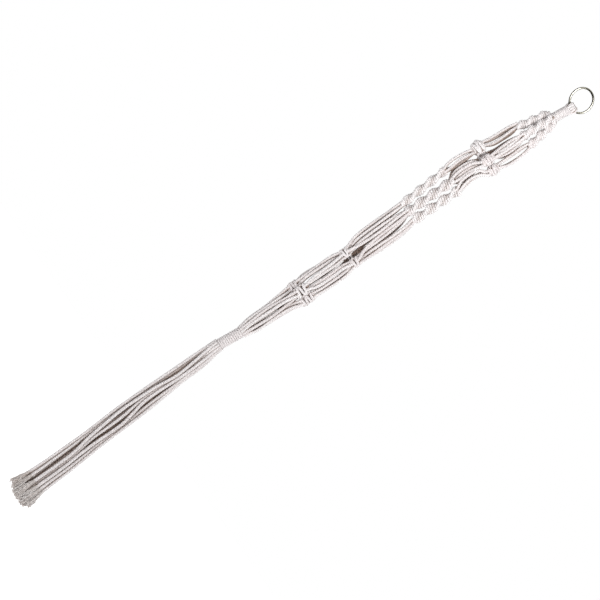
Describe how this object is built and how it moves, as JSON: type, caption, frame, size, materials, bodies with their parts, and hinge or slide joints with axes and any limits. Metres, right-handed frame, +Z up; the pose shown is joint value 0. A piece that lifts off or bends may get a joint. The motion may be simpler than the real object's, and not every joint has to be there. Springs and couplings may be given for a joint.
{
  "type": "hanging macrame planter",
  "caption": "Closed macrame plant hanger: a metal ring, knotted cotton arms that open round a pot, a binding and a long tassel of loose strands.",
  "frame": {"origin": "where a hook bears on the inside of the ring, at its top", "axes": "+Z up along the hanger, which hangs down from the origin; +X across it, with the arm named right on that side; +Y away from the arm named front"},
  "size_m": [0.0663, 0.0346, 1.0533],
  "materials": {
    "polished_ring": "polished nickel-plated steel wire",
    "cotton_cord": "natural off-white cotton, three plies, matt"
  },
  "bodies": {
    "ring": {"ring": "polished_ring"},
    "eye": {"cord_eye": "cotton_cord"},
    "neck": {"neck_wrap": "cotton_cord", "upper_sennit_right": "cotton_cord", "upper_sennit_back": "cotton_cord", "upper_sennit_left": "cotton_cord", "upper_sennit_front": "cotton_cord"},
    "berries": {"upper_strands_right": "cotton_cord", "upper_strands_back": "cotton_cord", "upper_strands_left": "cotton_cord", "upper_strands_front": "cotton_cord", "berry_knot_right": "cotton_cord", "berry_knot_back": "cotton_cord", "berry_knot_left": "cotton_cord", "berry_knot_front": "cotton_cord"},
    "spirals": {"middle_strands_right": "cotton_cord", "middle_strands_back": "cotton_cord", "middle_strands_left": "cotton_cord", "middle_strands_front": "cotton_cord", "spiral_sennit_right": "cotton_cord", "spiral_sennit_back": "cotton_cord", "spiral_sennit_left": "cotton_cord", "spiral_sennit_front": "cotton_cord"},
    "first_row": {"long_strands_right": "cotton_cord", "long_strands_back": "cotton_cord", "long_strands_left": "cotton_cord", "long_strands_front": "cotton_cord", "first_row_knot_back_right": "cotton_cord", "first_row_knot_back_left": "cotton_cord", "first_row_knot_front_left": "cotton_cord", "first_row_knot_front_right": "cotton_cord"},
    "second_row": {"net_strands_back_right": "cotton_cord", "net_strands_back_left": "cotton_cord", "net_strands_front_left": "cotton_cord", "net_strands_front_right": "cotton_cord", "second_row_knot_right": "cotton_cord", "second_row_knot_back": "cotton_cord", "second_row_knot_left": "cotton_cord", "second_row_knot_front": "cotton_cord"},
    "binding": {"gather_strands_right": "cotton_cord", "gather_strands_back": "cotton_cord", "gather_strands_left": "cotton_cord", "gather_strands_front": "cotton_cord", "bottom_wrap": "cotton_cord"},
    "tassel": {"tassel_strand_01": "cotton_cord", "tassel_strand_02": "cotton_cord", "tassel_strand_03": "cotton_cord", "tassel_strand_04": "cotton_cord", "tassel_strand_05": "cotton_cord", "tassel_strand_06": "cotton_cord", "tassel_strand_07": "cotton_cord", "tassel_strand_08": "cotton_cord", "tassel_strand_09": "cotton_cord", "tassel_strand_10": "cotton_cord", "tassel_strand_11": "cotton_cord", "tassel_strand_12": "cotton_cord", "tassel_strand_13": "cotton_cord", "tassel_strand_14": "cotton_cord", "tassel_strand_15": "cotton_cord", "tassel_strand_16": "cotton_cord"}
  },
  "joints": [
    {"name": "eye_round_ring", "type": "hinge", "parent": "ring", "child": "eye", "pos_m": [0, 0, -0.0175], "axis": [-0.4226, 0.9063, 0], "continuous": true},
    {"name": "neck_swing", "type": "hinge", "parent": "eye", "child": "neck", "pos_m": [0, 0, -0.03665], "axis": [0.9063, 0.4226, 0], "range_deg": [-90, 90]},
    {"name": "upper_bend", "type": "hinge", "parent": "neck", "child": "berries", "pos_m": [-0.006, 0, -0.1469], "axis": [0, 1, 0], "range_deg": [-35, 35], "deforming": ["upper_strands_right", "upper_strands_back", "upper_strands_left", "upper_strands_front"]},
    {"name": "middle_bend", "type": "hinge", "parent": "berries", "child": "spirals", "pos_m": [-0.012, 0, -0.2212], "axis": [1, 0, 0], "range_deg": [-30, 30], "deforming": ["middle_strands_right", "middle_strands_back", "middle_strands_left", "middle_strands_front"]},
    {"name": "long_bend", "type": "hinge", "parent": "spirals", "child": "first_row", "pos_m": [-0.008, 0, -0.3779], "axis": [0, 1, 0], "range_deg": [-60, 60], "deforming": ["long_strands_right", "long_strands_back", "long_strands_left", "long_strands_front"]},
    {"name": "net_bend", "type": "hinge", "parent": "first_row", "child": "second_row", "pos_m": [-0.005, 0, -0.4799], "axis": [1, 0, 0], "range_deg": [-45, 45], "deforming": ["net_strands_back_right", "net_strands_back_left", "net_strands_front_left", "net_strands_front_right"]},
    {"name": "gather_bend", "type": "hinge", "parent": "second_row", "child": "binding", "pos_m": [-0.006, 0, -0.5839], "axis": [0, 1, 0], "range_deg": [-60, 60], "deforming": ["gather_strands_right", "gather_strands_back", "gather_strands_left", "gather_strands_front"]},
    {"name": "tassel_swing", "type": "hinge", "parent": "binding", "child": "tassel", "pos_m": [-0.0096, 0, -0.6789], "axis": [1, 0, 0], "range_deg": [-75, 75], "deforming": ["tassel_strand_01", "tassel_strand_02", "tassel_strand_03", "tassel_strand_04", "tassel_strand_05", "tassel_strand_06", "tassel_strand_07", "tassel_strand_08", "tassel_strand_09", "tassel_strand_10", "tassel_strand_11", "tassel_strand_12", "tassel_strand_13", "tassel_strand_14", "tassel_strand_15", "tassel_strand_16"]}
  ]
}
